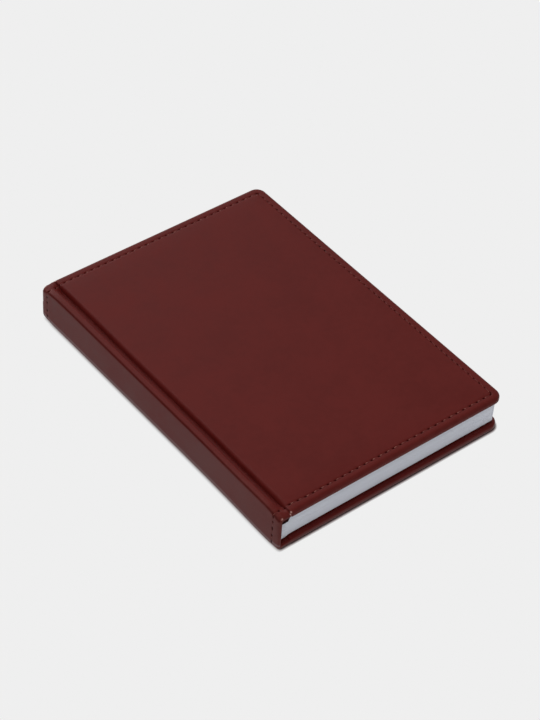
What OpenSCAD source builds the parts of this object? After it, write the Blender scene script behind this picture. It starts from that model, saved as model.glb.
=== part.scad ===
// A hardback desk diary: sewn sections in a padded, stitched leather case with a flat hollow spine.
// The book lies closed on its back cover: +X runs from spine to fore-edge, +Y from tail to head.

/* [Case] */
// Height of the covers, tail to head
cover_h = 213.5; // [190:0.5:240]
// Width of the closed book, spine face to fore-edge
cover_w = 152.8; // [130:0.2:170]
// Thickness of the closed book
book_t = 24.4; // [20:0.2:32]
// Plan radius of the fore-edge corners of each cover
corner_r = 6; // [4:0.5:9]
// Radius of the rolled outer edge of each cover
edge_r = 2; // [1.7:0.1:2.4]
// Radius of the inner edge, where the leather turns over the board
turn_r = 1.2; // [1:0.1:1.4]
// Width of leather turned in over the inside of each board
turn_in_w = 14; // [10:1:20]
// Leather left showing between the edge of a cover and its pastedown
paste_margin = 4.5; // [3:0.5:8]

/* [Layers] */
// Thickness of the leather
leather_t = 0.8; // [0.6:0.1:1]
// Thickness of the leather where it is pared and turned in
turn_in_t = 0.45; // [0.35:0.05:0.6]
// Thickness of the padding between leather and board
foam_t = 0.8; // [0.6:0.1:1.2]
// Thickness of the cover boards
board_t = 2; // [1.8:0.1:2.4]
// Thickness of the endpapers
endpaper_t = 0.15; // [0.12:0.01:0.2]

/* [Spine] */
// Thickness of the card in the spine
spine_board_t = 0.8; // [0.7:0.1:1.2]
// Width of the flat ridge along each long edge of the spine
ridge_w = 4.5; // [4.2:0.1:4.8]
// Spine face to the foot of the slope into the joint groove
groove_x = 7.1; // [6.8:0.1:7.8]
// Spine face to the edge of the cover panel beyond the groove
panel_x = 10; // [9.8:0.1:10.6]
// Radius of the long edges of the spine
spine_r = 1.6; // [1.5:0.1:2.2]
// Radius of the ends of the spine at head and tail
spine_end_r = 2.5; // [2:0.1:3]
// Length at head and tail over which the ridge widens to close the end of the groove
flare_l = 3.4; // [2:0.1:4.5]

/* [Stitching] */
// Edge of the case to its line of stitches
stitch_margin = 5.3; // [4.8:0.1:5.8]
// Spacing of the stitches along the line
stitch_pitch = 4.6; // [4:0.1:6]
// Length of thread that shows in one stitch
stitch_l = 3.3; // [2:0.1:3.8]
// Diameter of the stitching thread
thread_d = 0.44; // [0.3:0.02:0.5]

/* [Text block] */
// Overhang of the covers past the pages at head, tail and fore-edge
square_w = 3.1; // [2.5:0.1:5]
// Spine face to the backs of the folded sections
fold_x = 4; // [4:0.1:4.6]
// Spine face to the gutter line where the leaves turn
gutter_x = 10.6; // [10.6:0.1:12]
// Thickness of a single leaf
leaf_t = 0.12; // [0.08:0.01:0.15]
// Stations at which the sections are sewn
station_n = 6; // [4:1:8]
// Diameter of the sewing thread
sewing_d = 0.33; // [0.25:0.01:0.33]

/* [Hidden] */

$fn = 64;
over = 1;
leather_colour = [0.35, 0.14, 0.13];
thread_colour = [0.27, 0.09, 0.09];
board_colour = [0.55, 0.53, 0.48];
foam_colour = [0.85, 0.84, 0.8];
paper_colour = [0.94, 0.93, 0.89];
mull_colour = [0.86, 0.83, 0.73];
kraft_colour = [0.7, 0.56, 0.4];

// The case: layers of a cover from the inside out, and the half height of the book
case_t = turn_in_t + board_t + foam_t + leather_t;
half_h = cover_h / 2;
core_turn_r = 0.4;
channel_w = 0.8;
channel_d = thread_d + 0.02;

// The joint: the leather slopes from the ridge to a strip glued flat along the groove
groove_floor = book_t - case_t + leather_t;
groove_d = book_t - groove_floor;
slope_a = atan2(groove_d, groove_x - ridge_w);
slope_l = groove_d / sin(slope_a);
slope_shift = leather_t * tan(slope_a / 2);
joint_gap = 0.2;
strip_x = panel_x - joint_gap;
flare_gap = 2.1;
flare_x = panel_x - flare_gap;
spine_wall = leather_t + spine_board_t + turn_in_t;

// The text block: endpapers and single leaves outside, folded sections between them
block_h = cover_h - 2 * square_w;
block_x = cover_w - square_w;
cover_gap = 0.1;
leaf_gap = 0.05;
leaf_inset = 0.6;
flyleaf_low = case_t + endpaper_t + cover_gap;
flyleaf_high = book_t - flyleaf_low - endpaper_t;
first_leaf_z = flyleaf_high - leaf_gap - leaf_t;
second_leaf_z = first_leaf_z - leaf_gap - leaf_t;
section_n = 11;
stack_low = flyleaf_low + endpaper_t + leaf_gap;
stack_high = second_leaf_z - leaf_gap;
section_step = (stack_high - stack_low + leaf_gap) / section_n;
section_t = section_step - leaf_gap;
front_opening = 4;
back_opening = 3;

// The back lining of the block, from the folds outwards
sewing_x = fold_x - sewing_d / 2;
mull_t = 0.25;
mull_x = fold_x - sewing_d - mull_t;
mull_margin = 16;
lining_t = 0.13;
lining_margin = 2;

// Lower face of a section, counted from the front of the book
function section_z(index) = stack_high - section_t - (index - 1) * section_step;

// Places a piece drawn from the spine face, so that the book is centred on its frame
module bound() {
    translate([-cover_w / 2, 0, 0])
        children();
}

// A cover is drawn outside up with its inside at zero; these two set it on the book
module as_front() {
    bound()
        translate([0, 0, book_t - case_t])
            children();
}

module as_back() {
    bound()
        translate([0, 0, case_t])
            mirror([0, 0, 1])
                children();
}

// A flat block from a corner, symmetrical about the middle of the book's height
module strip(x, z, width, height, thick) {
    translate([x, -height / 2, z])
        cube([width, height, thick]);
}

// Profile in X and Z carried along the height of the book
module along_height(length) {
    rotate([90, 0, 0])
        linear_extrude(length, center = true)
            children();
}

// Quarter of a disc in the first quadrant
module quarter_round(radius) {
    intersection() {
        circle(radius);
        square(radius);
    }
}

// Edge of a wrapped cover in section: rolled on the outside, tighter where the leather turns in
module wrapped_edge(reach, inset) {
    outer_r = edge_r - inset;
    inner_r = inset > 0 ? core_turn_r : turn_r;
    low = inset > 0 ? turn_in_t : 0;
    high = case_t - inset;
    side = reach - inset;
    translate([side - outer_r, high - outer_r])
        quarter_round(outer_r);
    translate([side - inner_r, low + inner_r])
        mirror([0, 1])
            quarter_round(inner_r);
    translate([0, low])
        square([side - outer_r, high - low]);
    translate([0, low])
        square([side - inner_r, high - outer_r - low]);
    translate([0, low + inner_r])
        square([side, high - outer_r - low - inner_r]);
}

// Whole form of a cover: the edge section carried round head, fore-edge and tail, and along the joint
module case_form(inset) {
    corner_x = cover_w - corner_r;
    intersection() {
        union() {
            translate([panel_x, 0, 0])
                rotate([90, 0, 90])
                    linear_extrude(corner_x - panel_x) {
                        wrapped_edge(half_h, inset);
                        mirror([1, 0])
                            wrapped_edge(half_h, inset);
                    }
            translate([corner_x, 0, 0])
                along_height(cover_h - 2 * corner_r)
                    wrapped_edge(corner_r, inset);
            for (end = [-1, 1])
                translate([corner_x, end * (half_h - corner_r), 0])
                    rotate([0, 0, end > 0 ? 0 : -90])
                        rotate_extrude(angle = 90)
                            wrapped_edge(corner_r, inset);
        }
        translate([cover_w + over, 0, 0])
            along_height(cover_h + 2 * over)
                mirror([1, 0])
                    wrapped_edge(cover_w + over - panel_x, inset);
    }
}

// The three stitched lines of a cover, on its outside; a child is drawn along X for $run
module on_stitch_lines() {
    side_run = cover_w - stitch_margin - panel_x;
    fore_run = cover_h - 2 * stitch_margin;
    for (end = [-1, 1])
        translate([panel_x, end * (half_h - stitch_margin), case_t])
            let ($run = side_run)
                children();
    translate([cover_w - stitch_margin, -fore_run / 2, case_t])
        rotate([0, 0, 90])
            let ($run = fore_run)
                children();
}

// Pressed channel that the thread lies in
module stitch_channel() {
    translate([0, -channel_w / 2, -channel_d])
        cube([$run, channel_w, 2 * channel_d]);
}

// Row of stitches, evenly spaced near the pitch and just below the surface
module stitch_row() {
    count = max(round($run / stitch_pitch), 1);
    step = $run / count;
    shown = min(stitch_l, step - thread_d);
    for (i = [0 : count - 1])
        translate([(i + 0.5) * step, 0, -channel_d + thread_d / 2])
            rotate([0, 90, 0])
                cylinder(d = thread_d, h = shown, center = true);
}

// Opening that the turned-in leather leaves on the inside of a board
module inside_window(shrink, low, high) {
    window_x = panel_x + leather_t;
    strip(window_x - shrink, low, cover_w - turn_in_w - window_x, cover_h - 2 * turn_in_w - 2 * shrink,
          high - low);
}

module case_leather() {
    color(leather_colour)
        difference() {
            case_form(0);
            case_form(leather_t);
            inside_window(0, -over, turn_in_t + core_turn_r);
            on_stitch_lines()
                stitch_channel();
        }
}

module case_board() {
    color(board_colour)
        intersection() {
            case_form(leather_t);
            strip(panel_x, turn_in_t, cover_w, cover_h, board_t);
        }
}

module case_foam() {
    color(foam_colour)
        intersection() {
            case_form(leather_t);
            strip(panel_x, turn_in_t + board_t, cover_w, cover_h, foam_t);
        }
}

// Endpaper glued inside a cover: it steps down off the turned-in leather onto the bare board
module case_pastedown() {
    paste_x = panel_x + leather_t;
    color(paper_colour)
        difference() {
            union() {
                strip(paste_x, -endpaper_t, cover_w - paste_margin - paste_x, cover_h - 2 * paste_margin,
                      endpaper_t);
                inside_window(0, -endpaper_t, turn_in_t);
            }
            inside_window(endpaper_t, -over, turn_in_t - endpaper_t);
        }
}

module case_stitching() {
    color(thread_colour)
        on_stitch_lines()
            stitch_row();
}

module front_leather() {
    as_front()
        case_leather();
}

module front_foam() {
    as_front()
        case_foam();
}

module front_board() {
    as_front()
        case_board();
}

module front_pastedown() {
    as_front()
        case_pastedown();
}

module front_stitching() {
    as_front()
        case_stitching();
}

module back_leather() {
    as_back()
        case_leather();
}

module back_foam() {
    as_back()
        case_foam();
}

module back_board() {
    as_back()
        case_board();
}

module back_pastedown() {
    as_back()
        case_pastedown();
}

module back_stitching() {
    as_back()
        case_stitching();
}

// Rectangle whose corners at X = 0 are rounded
module half_round_slab(width, height, radius) {
    translate([radius, 0])
        square([width - radius, height]);
    translate([0, radius])
        square([width, height - 2 * radius]);
    for (y = [radius, height - radius])
        translate([radius, y])
            circle(radius);
}

// Envelope of the spine as far as X = depth, with its long edges and its two ends rounded
module spine_form(inset, depth) {
    width = strip_x + over - inset;
    height = cover_h - 2 * inset;
    thick = book_t - 2 * inset;
    end_r = spine_end_r - inset;
    intersection() {
        strip(inset, inset, depth - inset, height, thick);
        translate([inset, 0, inset])
            along_height(height)
                half_round_slab(width, thick, spine_r - inset);
        translate([inset, -height / 2, inset])
            linear_extrude(thick)
                half_round_slab(width, height, end_r);
        translate([inset, 0, inset + thick / 2])
            rotate([90, 0, 90])
                linear_extrude(width)
                    for (end = [-1, 1])
                        scale([1, end])
                            translate([-height / 2, -thick / 2])
                                round_foot(height, thick / 2, end_r);
    }
}

// Half of a rounded rectangle, standing on its rounded side
module round_foot(width, height, radius) {
    translate([0, radius])
        square([width, height - radius]);
    translate([radius, 0])
        square([width - 2 * radius, height]);
    for (x = [radius, width - radius])
        translate([x, radius])
            circle(radius);
}

// Leather over one edge of the spine: up the face, over the ridge, down the slope and along the groove
module ridge_section() {
    polygon([[0, book_t / 2], [0, book_t], [ridge_w, book_t], [groove_x, groove_floor],
             [strip_x, groove_floor], [strip_x, groove_floor - leather_t],
             [groove_x - slope_shift, groove_floor - leather_t],
             [ridge_w - slope_shift, book_t - leather_t],
             [leather_t, book_t - leather_t], [leather_t, book_t / 2]]);
}

// A profile on the front edge of the spine, and its reflection on the back edge
module on_both_edges() {
    children();
    translate([0, book_t])
        mirror([0, 1])
            children();
}

// Filling that carries the ridge across most of the groove
module flare_section() {
    polygon([[ridge_w - slope_shift, book_t], [flare_x, book_t], [flare_x, groove_floor - leather_t],
             [groove_x - slope_shift, groove_floor - leather_t]]);
}

// The stitched line round the spine near one end; a child is drawn along X for $run
module on_spine_line() {
    translate([0, 0, spine_r])
        rotate([0, -90, 0])
            let ($run = book_t - 2 * spine_r)
                children();
    for (side = [0, 1])
        translate([0, 0, side * book_t])
            mirror([0, 0, 1 - side]) {
                translate([spine_r, 0, 0])
                    let ($run = ridge_w - spine_r)
                        children();
                translate([ridge_w, 0, 0])
                    rotate([0, slope_a, 0])
                        let ($run = slope_l)
                            children();
            }
}

module spine_leather() {
    color(leather_colour)
        bound()
            difference() {
                intersection() {
                    union() {
                        along_height(cover_h)
                            on_both_edges()
                                ridge_section();
                        for (end = [-1, 1]) {
                            translate([0, end * (half_h - turn_in_w / 2), 0])
                                strip(0, 0, spine_wall, turn_in_w, book_t);
                            translate([0, end * (half_h - flare_l / 2), 0])
                                along_height(flare_l)
                                    on_both_edges()
                                        flare_section();
                        }
                    }
                    spine_form(0, strip_x + over);
                }
                spine_form(leather_t, leather_t + spine_board_t);
                for (end = [-1, 1])
                    translate([0, end * (half_h - stitch_margin), 0])
                        on_spine_line()
                            stitch_channel();
            }
}

module spine_board() {
    color(board_colour)
        bound()
            spine_form(leather_t, leather_t + spine_board_t);
}

module spine_stitching() {
    color(thread_colour)
        bound()
            for (end = [-1, 1])
                translate([0, end * (half_h - stitch_margin), 0])
                    on_spine_line()
                        stitch_row();
}

// Paper strip glued over the mull on the back of the block
module spine_lining() {
    color(kraft_colour)
        bound()
            strip(mull_x - lining_t, flyleaf_low + lining_margin, lining_t, block_h - 2 * mull_margin,
                  book_t - 2 * (flyleaf_low + lining_margin));
}

// Open-weave cloth over the back of the block, with a flap under the leather of each joint
module spine_mull() {
    flap_z = book_t - case_t - cover_gap - endpaper_t;
    mull_h = block_h - 2 * mull_margin;
    color(mull_colour)
        bound() {
            strip(mull_x, book_t - flap_z, mull_t, mull_h, 2 * flap_z - book_t);
            for (z = [flap_z, case_t])
                strip(mull_x, z, strip_x - mull_x, mull_h, cover_gap + endpaper_t);
        }
}

// Thread that links the backs of the sections at each sewing station
module sewing_thread() {
    spacing = block_h / station_n;
    color(thread_colour)
        bound()
            for (i = [0 : station_n - 1])
                translate([sewing_x, (i + 0.5) * spacing - block_h / 2, stack_low])
                    cylinder(d = sewing_d, h = stack_high - stack_low);
}

// Folded back of a section, half round, reaching as far as X = reach
module folded_section(index, reach) {
    translate([0, 0, section_z(index)])
        along_height(block_h) {
            translate([fold_x + section_t / 2, section_t / 2])
                circle(section_t / 2);
            translate([fold_x + section_t / 2, 0])
                square([reach - fold_x - section_t / 2, section_t]);
        }
}

// Sewn folds of the sections that open, and the glued edges of the single leaves
module section_folds() {
    reach = gutter_x - leaf_gap;
    stub_x = fold_x + section_t / 2;
    color(paper_colour)
        bound() {
            for (index = [1 : section_n])
                if (index <= front_opening || index > section_n - back_opening)
                    folded_section(index, reach);
            for (z = [flyleaf_low, flyleaf_high])
                strip(stub_x, z, reach - stub_x, block_h, endpaper_t);
            for (z = [first_leaf_z, second_leaf_z])
                strip(stub_x, z, reach - stub_x, block_h, leaf_t);
        }
}

// Leaves of one section: cut off at the gutter where they open, whole where they stay with the folds
module section(index) {
    color(paper_colour)
        bound()
            if (index <= front_opening || index > section_n - back_opening)
                strip(gutter_x, section_z(index), block_x - gutter_x, block_h, section_t);
            else
                folded_section(index, block_x);
}

// Single leaf that turns at the gutter
module turning_leaf(z, thick) {
    leaf_x = gutter_x + leaf_inset;
    color(paper_colour)
        bound()
            strip(leaf_x, z, block_x - leaf_x, block_h, thick);
}

module front_flyleaf() {
    turning_leaf(flyleaf_high, endpaper_t);
}

module first_leaf() {
    turning_leaf(first_leaf_z, leaf_t);
}

module second_leaf() {
    turning_leaf(second_leaf_z, leaf_t);
}

module back_flyleaf() {
    turning_leaf(flyleaf_low, endpaper_t);
}

front_leather();
front_foam();
front_board();
front_pastedown();
front_stitching();
back_leather();
back_foam();
back_board();
back_pastedown();
back_stitching();
spine_leather();
spine_board();
spine_stitching();
spine_lining();
spine_mull();
sewing_thread();
section_folds();
section(1);  // section_01
section(2);  // section_02
section(3);  // section_03
section(4);  // section_04
section(5);  // section_05
section(6);  // section_06
section(7);  // section_07
section(8);  // section_08
section(9);  // section_09
section(10);  // section_10
section(11);  // section_11
front_flyleaf();
first_leaf();
second_leaf();
back_flyleaf();
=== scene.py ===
# Desk diary in a padded, stitched leather case: the looks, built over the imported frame.
# Piece dictionaries are in millimetres from the spine face; meshes are in metres in the shared frame.
import math
import bmesh
import bpy
import numpy as np
from mathutils import Matrix, Vector


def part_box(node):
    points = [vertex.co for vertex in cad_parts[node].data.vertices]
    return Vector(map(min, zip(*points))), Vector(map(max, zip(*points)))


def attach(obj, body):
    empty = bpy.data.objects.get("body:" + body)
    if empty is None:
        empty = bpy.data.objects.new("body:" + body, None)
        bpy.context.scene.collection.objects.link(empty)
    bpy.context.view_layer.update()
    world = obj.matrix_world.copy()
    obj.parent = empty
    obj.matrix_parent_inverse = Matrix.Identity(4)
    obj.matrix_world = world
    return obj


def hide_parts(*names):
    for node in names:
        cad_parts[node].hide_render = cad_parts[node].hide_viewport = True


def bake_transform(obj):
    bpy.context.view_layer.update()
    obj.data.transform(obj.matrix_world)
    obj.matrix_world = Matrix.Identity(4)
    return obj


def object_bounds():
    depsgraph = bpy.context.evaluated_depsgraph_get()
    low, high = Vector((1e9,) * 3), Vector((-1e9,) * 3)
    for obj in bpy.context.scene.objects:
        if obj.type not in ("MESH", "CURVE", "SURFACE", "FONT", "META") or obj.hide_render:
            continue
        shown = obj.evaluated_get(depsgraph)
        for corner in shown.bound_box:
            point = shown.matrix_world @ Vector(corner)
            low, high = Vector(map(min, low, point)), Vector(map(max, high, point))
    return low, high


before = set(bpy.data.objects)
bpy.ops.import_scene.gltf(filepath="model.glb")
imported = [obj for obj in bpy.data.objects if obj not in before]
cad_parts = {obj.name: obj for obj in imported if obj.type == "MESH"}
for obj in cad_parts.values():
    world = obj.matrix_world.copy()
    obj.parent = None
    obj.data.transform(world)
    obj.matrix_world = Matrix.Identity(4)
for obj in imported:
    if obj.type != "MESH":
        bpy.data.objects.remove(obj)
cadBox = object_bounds()
mm = 0.001
rng = np.random.default_rng(7)


# The book's main sizes, read from the frame
def nodeBox(name):
    # lowest and highest corner of a node at rest, in millimetres from the spine face
    low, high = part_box(name)
    spineFace = np.array([cadBox[0].x, 0, 0])
    return (np.array(low) - spineFace) / mm, (np.array(high) - spineFace) / mm


bookW = (cadBox[1].x - cadBox[0].x) / mm
halfH = cadBox[1].y / mm
bookT = cadBox[1].z / mm
insideZ = nodeBox("front_leather")[0][2]
caseT = bookT - insideZ
foldX = nodeBox("section_05")[0][0]
foreX, pageHalfH = nodeBox("section_05")[1][:2]
gutterX = nodeBox("section_01")[0][0]
print("sizes: book", round(bookW, 1), "x", round(2 * halfH, 1), "x", round(bookT, 1), "mm")


# Array helpers
def smooth(value):
    # smoothstep: three t squared less two t cubed, on a value held between 0 and 1
    value = np.clip(value, 0, 1)
    return value * value * (3 - 2 * value)


def bell(value, width):
    # bell curve: e to the minus of the square of value over width
    return np.exp(-(value / width) ** 2)


def gridFaces(rows, columns, closed=False):
    # quads between each row and the next; closed also joins the last column to the first
    index = np.arange(rows * columns).reshape(rows, columns)
    if closed:
        index = np.hstack([index, index[:, :1]])
    corners = [index[:-1, :-1], index[:-1, 1:], index[1:, 1:], index[1:, :-1]]
    return np.stack(corners, axis=-1).reshape(-1, 4)


def meshPiece(name, points, faces, values, finish):
    # one closed mesh: doubles merged, holes capped with a crisp rim, faces turned outwards
    place = points.reshape(-1, 3) * mm + [cadBox[0].x, 0, 0]
    mesh = bpy.data.meshes.new(name)
    mesh.from_pydata(place.tolist(), [], faces.tolist())
    rest = mesh.attributes.new("restPlace", "FLOAT_VECTOR", "POINT")
    rest.data.foreach_set("vector", place.astype(np.float32).ravel())
    for key, value in values.items():
        layer = mesh.attributes.new(key, "FLOAT", "POINT")
        layer.data.foreach_set("value", np.broadcast_to(value, points.shape[:-1]).astype(np.float32).ravel())
    shell = bmesh.new()
    shell.from_mesh(mesh)
    bmesh.ops.remove_doubles(shell, verts=shell.verts, dist=1e-6)
    rim = [edge for edge in shell.edges if edge.is_boundary]
    bmesh.ops.holes_fill(shell, edges=rim, sides=0)
    bmesh.ops.recalc_face_normals(shell, faces=shell.faces)
    for edge in rim:
        edge.smooth = False
    shell.to_mesh(mesh)
    shell.free()
    mesh.shade_smooth()
    print("  mesh", name, len(mesh.vertices), "vertices")
    mesh.materials.append(finish)
    piece = bpy.data.objects.new(name, mesh)
    bpy.context.scene.collection.objects.link(piece)
    return piece


# Node helpers
def newFinish(name, **sockets):
    # a material with sockets of its shader set; an underscore stands for a space in a socket's name
    material = bpy.data.materials.new(name)
    material.use_nodes = True
    shader = material.node_tree.nodes["Principled BSDF"]
    for socket, value in sockets.items():
        shader.inputs[socket.replace("_", " ")].default_value = value
    return material, shader


def addNode(material, kind, inputs=None, **settings):
    # a node with its settings, its inputs set to values or linked to other nodes' outputs
    node = material.node_tree.nodes.new(kind)
    for key, value in settings.items():
        setattr(node, key, value)
    for key, value in (inputs or {}).items():
        if isinstance(value, bpy.types.NodeSocket):
            material.node_tree.links.new(value, node.inputs[key])
        else:
            node.inputs[key].default_value = value
    return node


def restPlace(material, stretch=(1, 1, 1)):
    # where a point of the piece lies when the book is closed, stretched along each axis
    place = addNode(material, "ShaderNodeAttribute", attribute_name="restPlace")
    mapped = addNode(material, "ShaderNodeMapping", {"Vector": place.outputs["Vector"], "Scale": stretch})
    return mapped.outputs["Vector"]


def noise(material, vector, scale, detail=2.0):
    # soft noise, mostly between 0.3 and 0.7
    made = addNode(material, "ShaderNodeTexNoise", {"Vector": vector, "Scale": scale, "Detail": detail})
    return made.outputs["Fac"]


def spread(material, value, low, high, fromLow=0.3, fromHigh=0.7):
    # a value between two limits carried to two other limits
    made = addNode(material, "ShaderNodeMapRange", {"Value": value, "From Min": fromLow, "From Max": fromHigh,
                                                    "To Min": low, "To Max": high})
    return made.outputs["Result"]


def mixColour(material, factor, first, second):
    # the first colour where the factor is 0, the second where it is 1
    made = addNode(material, "ShaderNodeMix", data_type="RGBA")
    for socket, value in zip((made.inputs[0], made.inputs[6], made.inputs[7]), (factor, first, second)):
        if isinstance(value, bpy.types.NodeSocket):
            material.node_tree.links.new(value, socket)
        else:
            socket.default_value = value
    return made.outputs[2]


def calculate(material, operation, first, second=0.0):
    made = addNode(material, "ShaderNodeMath", {0: first, 1: second}, operation=operation)
    return made.outputs["Value"]


def bumped(material, shader, height, strength, distance):
    # fine relief in the shading only
    bump = addNode(material, "ShaderNodeBump", {"Height": height, "Strength": strength, "Distance": distance})
    material.node_tree.links.new(bump.outputs["Normal"], shader.inputs["Normal"])


def pieceValue(material, name):
    # a value that the piece's mesh carries at its points
    return addNode(material, "ShaderNodeAttribute", attribute_name=name).outputs["Fac"]


# Leather: red-brown, faintly mottled, with a fine grain, edges lighter as wear and painted highlight, painted
# shade in the needle holes and hollows, a painted sheen on the spine and a few painted glints
leatherFinish = {
    "deep": (0.0946, 0.0069, 0.0050, 1),
    "warm": (0.1076, 0.0090, 0.0069, 1),
    # colour of the painted shade in holes and hollows
    "hole": (0.010, 0.0020, 0.0020, 1),
    "wornAndLit": (0.130, 0.028, 0.024, 1),
    "paintedGlint": (0.78, 0.44, 0.38, 1),
    "paintedSheen": (0.24, 0.155, 0.160, 1),
    "gloss": 0.085,
    "roughness": (0.38, 0.5),
    "sheen": 0.035,
    "sheenRoughness": 0.35,
    "mottleScale": 38,
    "mottleShare": 0.6,
    "cloudScale": 260,
    "cloudShare": 0.4,
    "rubAndLightShare": (0.14, 0.42),
    "grainScale": 2100,
    "poreEdge": 0.25,
    "fineScale": 0.45,
    "relief": 0.22,
    "reliefDepth": 0.00003,
}


def leatherMaterial(look):
    material, shader = newFinish("leather_red_brown", Sheen_Weight=look["sheen"],
                                 Sheen_Roughness=look["sheenRoughness"])
    place = restPlace(material)
    pressed = pieceValue(material, "pressed")
    mottle = noise(material, place, look["mottleScale"], 3.0)
    cloud = noise(material, place, look["cloudScale"], 3.0)
    both = calculate(material, "ADD", calculate(material, "MULTIPLY", mottle, look["mottleShare"]),
                     calculate(material, "MULTIPLY", cloud, look["cloudShare"]))
    colour = mixColour(material, spread(material, both, 0, 1, 0.38, 0.62), look["deep"], look["warm"])
    # lighter red in patches where the mesh's wear value is set: partly real wear, partly painted highlight
    patchy = spread(material, cloud, *look["rubAndLightShare"])
    rubAndLight = calculate(material, "MULTIPLY", pieceValue(material, "wearAndHighlight"), patchy)
    colour = mixColour(material, rubAndLight, colour, look["wornAndLit"])
    # painted sheen over the spine and painted reflection of the table along its foot
    colour = mixColour(material, pieceValue(material, "paintedSheen"), colour, look["paintedSheen"])
    # painted shade: the dark hole colour, with less gloss, where the mesh's pressed value is set: needle
    # holes, seam valleys, the spine's corner, the groove's ends, the tucked leather and the leather under the
    # pages
    colour = mixColour(material, pressed, colour, look["hole"])
    # painted glints
    colour = mixColour(material, pieceValue(material, "paintedGlint"), colour, look["paintedGlint"])
    material.node_tree.links.new(colour, shader.inputs["Base Color"])
    gloss = spread(material, pressed, look["gloss"], 0, 0, 0.6)
    material.node_tree.links.new(gloss, shader.inputs["Specular IOR Level"])
    roughness = spread(material, both, *look["roughness"], 0.35, 0.65)
    material.node_tree.links.new(roughness, shader.inputs["Roughness"])
    pores = addNode(material, "ShaderNodeTexVoronoi", {"Vector": place, "Scale": look["grainScale"]},
                    feature="DISTANCE_TO_EDGE")
    pore = spread(material, pores.outputs["Distance"], 0, 1, 0, look["poreEdge"])
    grain = calculate(material, "ADD", pore, noise(material, place, look["grainScale"] * look["fineScale"]))
    bumped(material, shader, grain, look["relief"], look["reliefDepth"])
    return material


leather = leatherMaterial(leatherFinish)
print("leather finish made")

# Leather case: one skin for each cover, from the middle of the spine over the ridge and joint to the
# fore-edge. Soft changes are smoothsteps and bell curves: From or At is where one starts or has its middle,
# and Run, Fade or W is how long it is
caseShape = {
    "cornerR": 6.0,
    "rollIn": 2.3,
    "rollDown": 1.8,
    "turnR": 1.0,
    "turnIn": 14.0,
    "turnInT": 0.45,
    "softEdge": 0.30,
    "softRun": 14.0,
    "crown": 0.20,
    "spineR": 1.2,
    # painted shade along the spine's corner
    "creaseShade": 0.42,
    "spineWall": 1.7,
    "ridgeW": 3.4,
    "ridgeT": 3.0,
    "grooveX": 7.3,
    "grooveBottom": 0.2,
    "grooveDepth": 3.2,
    "straightFall": 0.4,
    "shoulderX": 9.6,
    # ends of the groove and ridge
    "endPress": 0.08,
    "pressFrom": 2.0,
    "pressRun": 8.0,
    # painted shade along the groove's bottom near its ends
    "endFoldShade": 0.6,
    "endFoldShadeAt": 0.1,
    "endFoldShadeW": 0.5,
    "endDrop": 0.9,
    "endDropRun": 16.0,
    "endDropFrom": 3.0,
    "endDropW": 5.0,
    "endDropFade": 7.0,
    "innerDrop": 0.5,
    "endRound": 2.0,
    "endRoundRun": 9.0,
    "endRoundW": 2.8,
    "endRoll": 0.6,
    "endRollRun": 6.0,
    "endRollW": 1.2,
    "pleat": 0.16,
    "pleatPitch": 1.1,
    "pleatX": 6.5,
    "pleatW": 2.0,
    "pleatInset": 1.2,
    "pleatRun": 1.6,
    # leather tucked in between the ridge and the pages, darkened there with painted shade
    "tuck": 5.2,
    "tuckInset": 2.2,
    "tuckW": 0.9,
    "tuckFrom": 1.7,
    "tuckRun": 1.2,
    "tuckTo": 7.0,
    "tuckFade": 1.4,
    "tuckShade": 0.88,
    # lean of the whole case
    "tailLean": 0.45,
    "headLean": 0.4,
    "headLeanW": 3.0,
    "leanFrom": 30.0,
    "leanRun": 50.0,
    "leanTo": 8.0,
    "leanFade": 4.0,
    "headBulge": 0.2,
    "bulgeFrom": 80.0,
    "bulgeRun": 22.0,
    "bulgeW": 2.0,
    # wear lightened with painted highlight, painted shade, and painted sheen and reflection
    "shadeUnderPages": 0.0,
    "shadeUnderFrom": 1.6,
    "shadeUnderRun": 0.8,
    # lighter red at the rolled edges and the spine's ends: wear and painted highlight
    "wearAndLightDrop": 0.8,
    "wearAndLightDropW": 0.9,
    "wearAndLightW": 1.6,
    "endRubAndLight": 0.8,
    "endRubAndLightFrom": 3.5,
    "endRubAndLightFade": 2.5,
    "rubAndLightFrom": 30.0,
    "rubAndLightRun": 60.0,
    # painted sheen over the spine's face
    "spineSheen": 0.035,
    "sheenFrom": 1.2,
    "sheenRun": 1.5,
    # painted reflection of the table along the spine's foot
    "footReflection": 0.0,
    "footReflectionAt": 3.7,
    "footReflectionW": 0.6,
    "footReflectionShift": 2.8,
    "footFrom": 60.0,
    "footRun": 40.0,
    # painted glints on the creased leather at the ends of the joint
    "glintSpots": ((7.9, 0.9, 0.34), (7.0, 0.3, 0.27), (1.9, 0.5, 0.29)),
    # seam
    "stitchInset": 5.3,
    "foreSeam": 4.95,
    "seamRun": 12.0,
    "stitchesFore": 46,
    "samplesPerStitch": 10,
    "ringStep": 0.2,
    "hiddenRings": (0.5, 1.0, 1.5, 2.1, 3.0, 8.0),
    "valley": 0.14,
    "valleyW": 0.9,
    # painted shade in the seam's valley and needle holes
    "valleyShade": 0.15,
    "valleyShadeW": 0.4,
    "hole": 0.55,
    "holeW": 0.38,
    "holeL": 0.75,
    "holeShade": 0.95,
    "spineHole": 1.4,
    "foreHole": 0.7,
    "cornerEase": 0.4,
    # what differs at the two ends
    "tailEnd": {"seam": 4.6, "pitch": 4.88, "panelHoleShade": 0.88, "rubAndLight": 1.5, "foot": 0.0},
    "headEnd": {"seam": 5.15, "pitch": 4.66, "panelHoleShade": 0.5, "rubAndLight": 0.3, "foot": 0.0,
                "endRoll": 0.25, "tuck": 1.8},
}
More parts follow.
